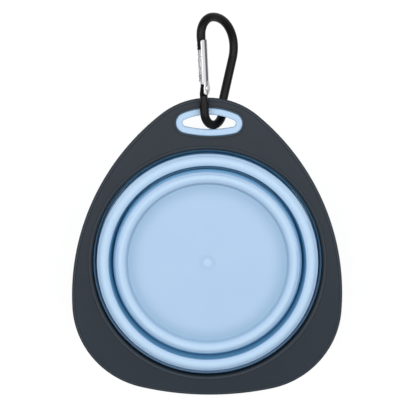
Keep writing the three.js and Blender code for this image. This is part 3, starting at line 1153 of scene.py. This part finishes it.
@dataclass
class SnapHook:
    """The snap hook: a bent rod with a nose and a tongue, a folded gate, its rivet and its spring.

    The rod is drawn flat, with its low loop at the origin, and is then placed. The gate, the rivet and the
    spring are drawn about the rivet, with the gate along Y and its open side toward -X.

    Attributes:
        top_shift: How far the top bend lies to the spine's side of the low loop.
        gate_top: The radius of the top bend on the gate's side.
        spine_top: The same on the spine's side.
        spine_foot: How far the spine runs straight before it leans out.
        bar_up: How far the low loop's middle line lies over the slot's lower edge.
        middle: The height of the middle of the frame's edge.
        arm: How far that middle is from the low loop, along the tilted hook.
        settle: A last shift of the hook in its own plane, so that it touches the liner.
        inset: How far the rivet lies inside the rod's middle line.
        nose_gap: How far the nose ends before the top bend.
        taper: The share of its radius that the rod has at its rivet end.
        taper_run: How far the taper runs along the rod.
        blade: How long the nose's blade is.
        blade_tip: How far it reaches past the rivet's line.
        blade_half: Half its thickness.
        tongue: How far the tongue reaches round the rivet.
        tongue_wall: Its thickness.
        overlap: How far the nose's blade and the tongue reach into the rod.
        ear_step: How much narrower the gate's plates are at its ears.
        ear_lead: How far before the web that step lies.
        ear_corners: The radii of an ear's outward and inward corners.
        end_corner: The radius of a plate's corner at the nose.
        web_corner: The radius of a plate's corner where the web starts.
        gate_gap: How far the gate ends before the nose.
        strip: The place across the gate's plates where their painted dark reflection starts.
        reflection_mark: How strong that painted dark reflection is.
        rivet_pin: The radius of the rivet's pin.
        rivet_head: The radius of its heads.
        rivet_half: The height at which a head's dome starts.
        rivet_dome: How far the dome rises.
        coil: The radius of the spring's coil.
        coil_turns: How often it goes round.
        coil_ends: The heights of its two ends.
    """

    slot: SlotShape
    rod: float = 4.45
    length: float = 52.9
    narrow: float = 6.6
    top_shift: float = 3.4
    gate_top: float = 8.45
    spine_top: float = 14.9
    spine_foot: float = 1.6
    low_bend: float = 5.0
    high_bend: float = 16.0
    x: float = 2.4
    bar_up: float = 2.4
    middle: float = 12.5
    arm: float = 6.2
    settle: Point = (0.4, -0.2, 0)
    roll: float = radians(47)
    tilt: float = radians(4.2)
    yaw: float = radians(4.9)
    inset: float = 1.3
    rivet_along: float = 12.2
    rod_end: float = 3.8
    nose_gap: float = 1.5
    taper: float = 0.8
    taper_run: float = 3.0
    blade: float = 5.4
    blade_tip: float = 0.7
    blade_half: float = 0.8
    tongue: float = 1.9
    tongue_wall: float = 1.0
    overlap: float = 1.0
    gate_out: float = 3.2
    gate_in: float = 1.6
    gate_half: float = 1.7
    gate_wall: float = 0.5
    gate_bend: float = 0.8
    gate_ear: float = 3.0
    gate_gap: float = 0.5
    ear_step: float = 1.0
    ear_lead: float = 0.2
    ear_corners: Pair = (0.7, 1.3)
    end_corner: float = 0.9
    web_corner: float = 0.8
    web_start: float = 3.5
    strip: float = -0.7
    reflection_mark: float = 0.95
    rivet_pin: float = 0.85
    rivet_head: float = 1.45
    rivet_half: float = 1.9
    rivet_dome: float = 0.45
    coil: float = 1.3
    coil_turns: float = 1.5
    coil_ends: Pair = (0.3, 0.9)
    wire: float = 0.15

    def __post_init__(self) -> None:
        """Works out the line of the gate, the end of the nose and how the hook is placed."""
        top = Vector((self.top_shift, self.length - self.gate_top, 0))
        apart = top - Vector((0, self.narrow, 0))
        self.lean = asin((self.gate_top - self.narrow) / apart.length) - atan2(apart.x, apart.y)
        self.along = Vector((-sin(self.lean), cos(self.lean), 0))
        self.inward = Vector((cos(self.lean), sin(self.lean), 0))
        self.foot = Vector((0, self.narrow, 0)) - self.inward * self.narrow
        self.head = top - self.inward * self.gate_top
        self.rivet_foot = self.foot + self.along * self.rivet_along
        self.nose = (self.head - self.rivet_foot).length - self.nose_gap
        y = self.slot.y - self.slot.down + self.bar_up
        z = self.middle - self.arm * sin(self.tilt)
        self.place = (
            Matrix.Translation((self.x, y, z))
            @ Matrix.Rotation(self.yaw, 4, "Z")
            @ Matrix.Rotation(self.tilt, 4, "X")
            @ Matrix.Rotation(self.roll, 4, "Y")
            @ Matrix.Translation(self.settle)
        )
        rivet = self.rivet_foot + self.inward * self.inset
        self.gate_place = self.place @ Matrix.Translation(rivet) @ Matrix.Rotation(self.lean, 4, "Z")
        self.normal = self.place.to_3x3() @ Vector((0, 0, 1))

    def line(self) -> list[Vector]:
        """Gives the rod's middle line from the rivet's end round to the nose.

        Returns:
            The points of the line.
        """
        bends = self.low_bend + self.high_bend
        start = self.narrow + self.spine_foot
        spine = self.top_shift + self.spine_top
        shift = spine - self.narrow - bends
        top = self.length - self.spine_top
        lean = atan2(shift, top - start) + asin(bends / hypot(shift, top - start))
        end = self.rivet_foot - self.along * self.rod_end
        nose = self.rivet_foot + self.along * self.nose
        points = [(end + (self.foot - end) * k / 14).to_2d() for k in range(14)]
        points += arc(0, self.narrow, self.narrow, pi + self.lean, 2 * pi, 40)
        points += [(self.narrow, self.narrow), (self.narrow, start - 0.4)]
        points += arc(self.narrow + self.low_bend, start, self.low_bend, pi, pi - lean, 10)
        across, up = 1 - cos(lean), sin(lean)
        turn_in = Vector((self.narrow + self.low_bend * across, start + self.low_bend * up))
        turn_out = Vector((spine - self.high_bend * across, top - self.high_bend * up))
        points += [turn_in.lerp(turn_out, k / 16) for k in range(16)]
        points += arc(spine - self.high_bend, top, self.high_bend, -lean, 0, 16)
        points += arc(self.top_shift, top, self.spine_top, 0, pi / 2, 30)
        points += arc(self.top_shift, self.length - self.gate_top, self.gate_top, pi / 2, pi + self.lean, 30)
        points += [self.head.to_2d(), nose.to_2d()]
        return [Vector((p[0], p[1], 0)) for p in points]

    def build_rod(self, finishes: Finishes) -> Object:
        """Sweeps the rod and adds the nose's blade and the tongue.

        Args:
            finishes: The materials of the pieces.

        Returns:
            The piece made.
        """
        shell = Shell()
        line = self.line()
        half = self.rod / 2
        runs = [0.0]
        for a, b in zip(line, line[1:]):
            runs.append(runs[-1] + (b - a).length)
        radii = [half * (self.taper + (1 - self.taper) * min(1.0, run / self.taper_run)) for run in runs]
        shell.sweep([self.place @ p for p in line], radii, sides=32, flat=self.normal)
        shell.place = self.gate_place
        out = -self.inset - half
        back, low, high = out - 0.1, self.nose - self.blade, self.nose + self.overlap
        tip = self.blade_tip
        blade = [(back, low, 0.2), (tip, low + 0.9, 0.3), (tip, high), (back, high, 0.4)]
        shell.prism(rounded(blade, 4), -self.blade_half, self.blade_half, round_by=0.18)
        back, low = out + 0.4, -self.rod_end - self.overlap
        eye = self.tongue
        tongue = [(back, low), (1.6, low), (eye, eye, 1.8), (-eye, eye, 1.8), (back, -2.4, 0.5)]
        shell.prism(rounded(tongue, 8), -self.tongue_wall, 0.0, round_by=0.15)
        piece = shell.finish("hook_rod", Body.HOOK, Slot.BLACK, finishes.black)
        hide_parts("carabiner_body")
        return piece

    def plate(self, y: float, end: float) -> Pair:
        """Gives how far the gate's side plates reach outward and inward at a place along it.

        Args:
            y: The place along the gate.
            end: The place where the gate ends.

        Returns:
            The outward and the inward reach.
        """

        def corner(size: float, past: float) -> float:
            """Gives what a rounded corner takes off at a place this far past the plate's end."""
            return size - sqrt(max(0.0, size**2 - max(0.0, past + size) ** 2))

        foot = -y - self.gate_ear
        outer = -self.gate_out + corner(self.ear_corners[0], foot) + corner(self.end_corner, y - end)
        if y >= self.web_start:
            return outer, self.gate_in - self.gate_bend
        if y < self.web_start - self.ear_lead:
            outer += self.ear_step
        inner = self.gate_in - corner(self.ear_corners[1], foot)
        return outer, inner - corner(self.web_corner, y - self.web_start)

    def build_gate(self, finishes: Finishes) -> Object:
        """Makes the folded channel: one bent sheet, without its web between the two ears.

        Args:
            finishes: The materials of the pieces.

        Returns:
            The piece made.
        """
        shell = Shell(self.gate_place)
        end = self.nose - self.gate_gap
        half, wall, fold = self.gate_half, self.gate_wall, self.gate_in - self.gate_bend
        inside = half - wall

        def near(y: float) -> list[Vector]:
            """Gives the section of one side plate.

            Args:
                y: The place along the gate.

            Returns:
                The points of the section.
            """
            low, high = self.plate(y, end)
            side = [
                (high, inside), (low + 0.1, inside), (low, inside + 0.1), (low, half - 0.1),
                (low + 0.1, half), (-1.3, half), (-0.6, half), (high - 0.3, half), (high, half),
            ]
            return [Vector((x, y, z)) for x, z in side]

        def far(y: float) -> list[Vector]:
            """Gives the section of the other side plate."""
            return [Vector((p.x, p.y, -p.z)) for p in reversed(near(y))]

        turn = half - self.gate_bend
        bend = [*arc(fold, turn, self.gate_bend, pi / 2, 0, 6)[1:], (self.gate_in, turn)]
        back = [*bend, *((x, -z) for x, z in reversed(bend))]
        lip, web = fold + wall * 0.3, fold + 0.3
        nook = [(lip, -inside), (web, 0.3 - inside), (web, inside - 0.3), (lip, inside)]

        def whole(y: float) -> Loop:
            """Adds the section of the whole channel."""
            outside, hollow = ([Vector((x, y, z)) for x, z in part] for part in (back, nook))
            return shell.loop([*near(y), *outside, *far(y), *hollow])

        places = [self.web_start + (end - 0.9 - self.web_start) * k / 8 for k in range(9)]
        loops = [whole(y) for y in (*places, end - 0.6, end - 0.35, end - 0.15, end - 0.04, end)]
        shell.skin(loops)
        shell.bm.faces.new(loops[-1])
        first = loops[0]
        side = len(near(self.web_start))
        far_start = side + len(back)
        far_end = far_start + side
        shell.bm.faces.new([*first[side - 1 : far_start + 1], *first[far_end - 1 :], first[0]])
        ear_rows = (3.35, 3.1, 2.9, 2.7, 1.5, 0.0, -1.3, -1.8, -2.2, -2.55, -2.8, -2.93, -3.0)
        for start, chain in ((first[:side], near), (first[far_start:far_end], far)):
            ear = [start, *(shell.loop(chain(y)) for y in ear_rows)]
            shell.skin(ear)
            shell.bm.faces.new(ear[-1])
        # Paints a dark reflection along a strip of each side plate, in the finish's fold colour.
        to_gate = self.gate_place.inverted()
        for vert in shell.bm.verts:
            local = to_gate @ vert.co
            flat = abs(abs(local.z) - half) < 0.02
            vert[shell.edge] = self.reflection_mark if flat and self.strip < local.x < fold - 0.2 else 0.0
        piece = shell.finish("gate_channel", Body.GATE, Slot.SILVER, finishes.silver)
        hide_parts("carabiner_gate")
        return piece

    def build_rivet(self, finishes: Finishes) -> Object:
        """Turns the rivet with its two domed heads.

        Args:
            finishes: The materials of the pieces.

        Returns:
            The piece made.
        """
        shell = Shell(self.gate_place)
        rows = (0.1, 0.5, 0.8, 1.1, 1.35, 1.5)
        dome = [(self.rivet_head * cos(a), self.rivet_half + self.rivet_dome * sin(a)) for a in rows]
        under = self.rivet_half - 0.05
        half = [(self.rivet_pin, under), (self.rivet_head - 0.03, under), *dome]
        profile = [(r, -z) for r, z in reversed(half)] + half
        shell.turn(profile, steps=40)
        piece = shell.finish("rivet_pin", Body.HOOK, Slot.STEEL, finishes.steel)
        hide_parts("gate_rivet")
        return piece

    def build_spring(self, finishes: Finishes) -> Object:
        """Winds the small spring round the rivet, with one leg along the gate's web.

        Args:
            finishes: The materials of the pieces.

        Returns:
            The piece made.
        """
        coil, steps = self.coil, 72
        low, high = self.coil_ends
        points = [Vector((-coil, -2.4, low)), Vector((-coil, -1.2, low))]
        for k in range(steps + 1):
            angle = pi - 2 * pi * self.coil_turns * k / steps
            rise = low + (high - low) * k / steps
            points.append(Vector((coil * cos(angle), coil * sin(angle), rise)))
        points += [Vector((1.05, 1.6, high)), Vector((0.65, 3.5, high)), Vector((0.65, 6.5, high))]
        shell = Shell()
        radii = [self.wire] * len(points)
        shell.sweep([self.gate_place @ p for p in points], radii, sides=10, flat=self.normal)
        piece = shell.finish("gate_coil", Body.GATE, Slot.STEEL, finishes.steel)
        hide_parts("gate_spring")
        return piece

    def build(self, finishes: Finishes) -> Pieces:
        """Makes the whole hook."""
        parts = (self.build_rod, self.build_gate, self.build_rivet, self.build_spring)
        return [build(finishes) for build in parts]


@dataclass
class Studio:
    """The plain stage, in metres: a white floor, soft light from above and the camera over the bowl.

    Attributes:
        room: How far the floor lies below the folded bowl, so that the bowl opens above it.
        distance: From the camera to its aim.
        scale: The size of a pixel at the aim.
        frame_px: The width of the picture in pixels.
        sensor: The width of the sensor in millimetres.
        floor_half: Half the side of the floor.
        floor_tone: How much light the floor sends back to the bowl.
        shadow_tone: How much of the light on the floor the camera sees.
        floor_glow: What the floor gives out to the camera besides.
        sky_fill: How bright the sky is as a light.
        sky_seen: How bright it is to the camera and in reflections.
        lamp_at: The place of the right soft box. The left one mirrors it.
        lamp_size: The side of a soft box.
        lamp_power: The power of a soft box in watts.
    """

    room: float = 42.5 * MM
    distance: float = 0.56
    scale: float = 0.00050425
    frame_px: float = 416
    sensor: float = 36
    roll: float = radians(0.7)
    tilt: float = radians(9.06)
    aim: Point = (-0.00008, 0.02926, 0.0053)
    floor_half: float = 2.0
    floor_tone: float = 0.8
    shadow_tone: float = 0.2
    floor_glow: float = 0.86
    sky_fill: float = 0.15
    sky_seen: float = 1.0
    lamp_at: Point = (0.42, 0.17, 0.85)
    lamp_size: float = 1.0
    lamp_power: float = 6.25

    def place_camera(self) -> None:
        """Puts the camera over the bowl, leaning toward the slot."""
        data = bpy.data.cameras.new("over_bowl")
        data.sensor_width = self.sensor
        data.sensor_height = self.sensor
        data.sensor_fit = "HORIZONTAL"
        data.lens = self.sensor * self.distance / (self.frame_px * self.scale)
        back = Vector((0, sin(self.tilt), cos(self.tilt))) * self.distance
        lean = Matrix.Rotation(-self.tilt, 4, "X") @ Matrix.Rotation(self.roll, 4, "Z")
        camera = linked("over_bowl", data)
        camera.matrix_world = Matrix.Translation(Vector(self.aim) + back) @ lean
        bpy.context.scene.camera = camera

    @staticmethod
    def seen(kit: Tree) -> Socket:
        """Gives 1 for rays from the camera and for mirror and clear rays.

        Args:
            kit: The tree of the floor or the sky.

        Returns:
            The value.
        """
        path = kit.add("ShaderNodeLightPath").outputs
        found = path["Is Camera Ray"]
        for kind in ("Is Glossy Ray", "Is Transmission Ray"):
            found = kit.add("ShaderNodeMath", {0: found, 1: path[kind]}, operation="MAXIMUM").outputs[0]
        return found

    def lay_floor(self) -> None:
        """Lays the pale floor, white to the camera except for a faint shadow."""
        bm = bmesh.new()
        bmesh.ops.create_grid(bm, x_segments=2, y_segments=2, size=self.floor_half)
        mesh = bpy.data.meshes.new("studio_floor")
        bm.to_mesh(mesh)
        bm.free()
        floor = linked("studio_floor", mesh)
        floor.location = (0, 0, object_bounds()[0][2] - self.room)
        material = bpy.data.materials.new("white_floor")
        kit = Tree.cleared(material)
        plain, faint = (
            kit.add("ShaderNodeBsdfDiffuse", {"Color": (tone, tone, tone, 1)}).outputs[0]
            for tone in (self.floor_tone, self.shadow_tone)
        )
        white = kit.add("ShaderNodeEmission", {"Strength": self.floor_glow}).outputs[0]
        both = kit.add("ShaderNodeAddShader", {0: faint, 1: white}).outputs[0]
        mix = kit.add("ShaderNodeMixShader", {"Fac": self.seen(kit), 1: plain, 2: both}).outputs[0]
        kit.add("ShaderNodeOutputMaterial", {"Surface": mix})
        mesh.materials.append(material)
        floor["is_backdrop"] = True

    def light(self) -> None:
        """Sets the even sky and the two soft boxes."""
        world = bpy.data.worlds.new("even_sky")
        kit = Tree.cleared(world)
        strength = mapped(kit, self.seen(kit), 0, 1, self.sky_fill, self.sky_seen)
        sky = kit.add("ShaderNodeBackground", {"Strength": strength}).outputs[0]
        kit.add("ShaderNodeOutputWorld", {"Surface": sky})
        bpy.context.scene.world = world
        x, y, z = self.lamp_at
        for name, place in (("left_box", Vector((-x, y, z))), ("right_box", Vector((x, y, z)))):
            data = bpy.data.lights.new(name, "AREA")
            data.energy = self.lamp_power
            data.size = self.lamp_size
            lamp = linked(name, data)
            lamp.location = place
            lamp.rotation_euler = (-place).to_track_quat("-Z", "Y").to_euler()

    def build(self) -> None:
        """Makes the camera, the floor and the light."""
        self.place_camera()
        self.lay_floor()
        self.light()
        bpy.context.scene.view_settings.view_transform = "Standard"


def main() -> None:
    """Builds the stage and the scene piece by piece."""
    logging.basicConfig(level=logging.INFO, format="%(name)s: %(message)s")
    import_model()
    Studio().build()
    finishes = Finishes.make()
    slot = SlotShape()
    for assembly in (FramePlate(slot), SlotLiner(slot), SoftBowl(), SnapHook(slot)):
        for piece in assembly.build(finishes):
            log.info("made %s", piece.name)


if __name__ == "__main__":
    main()
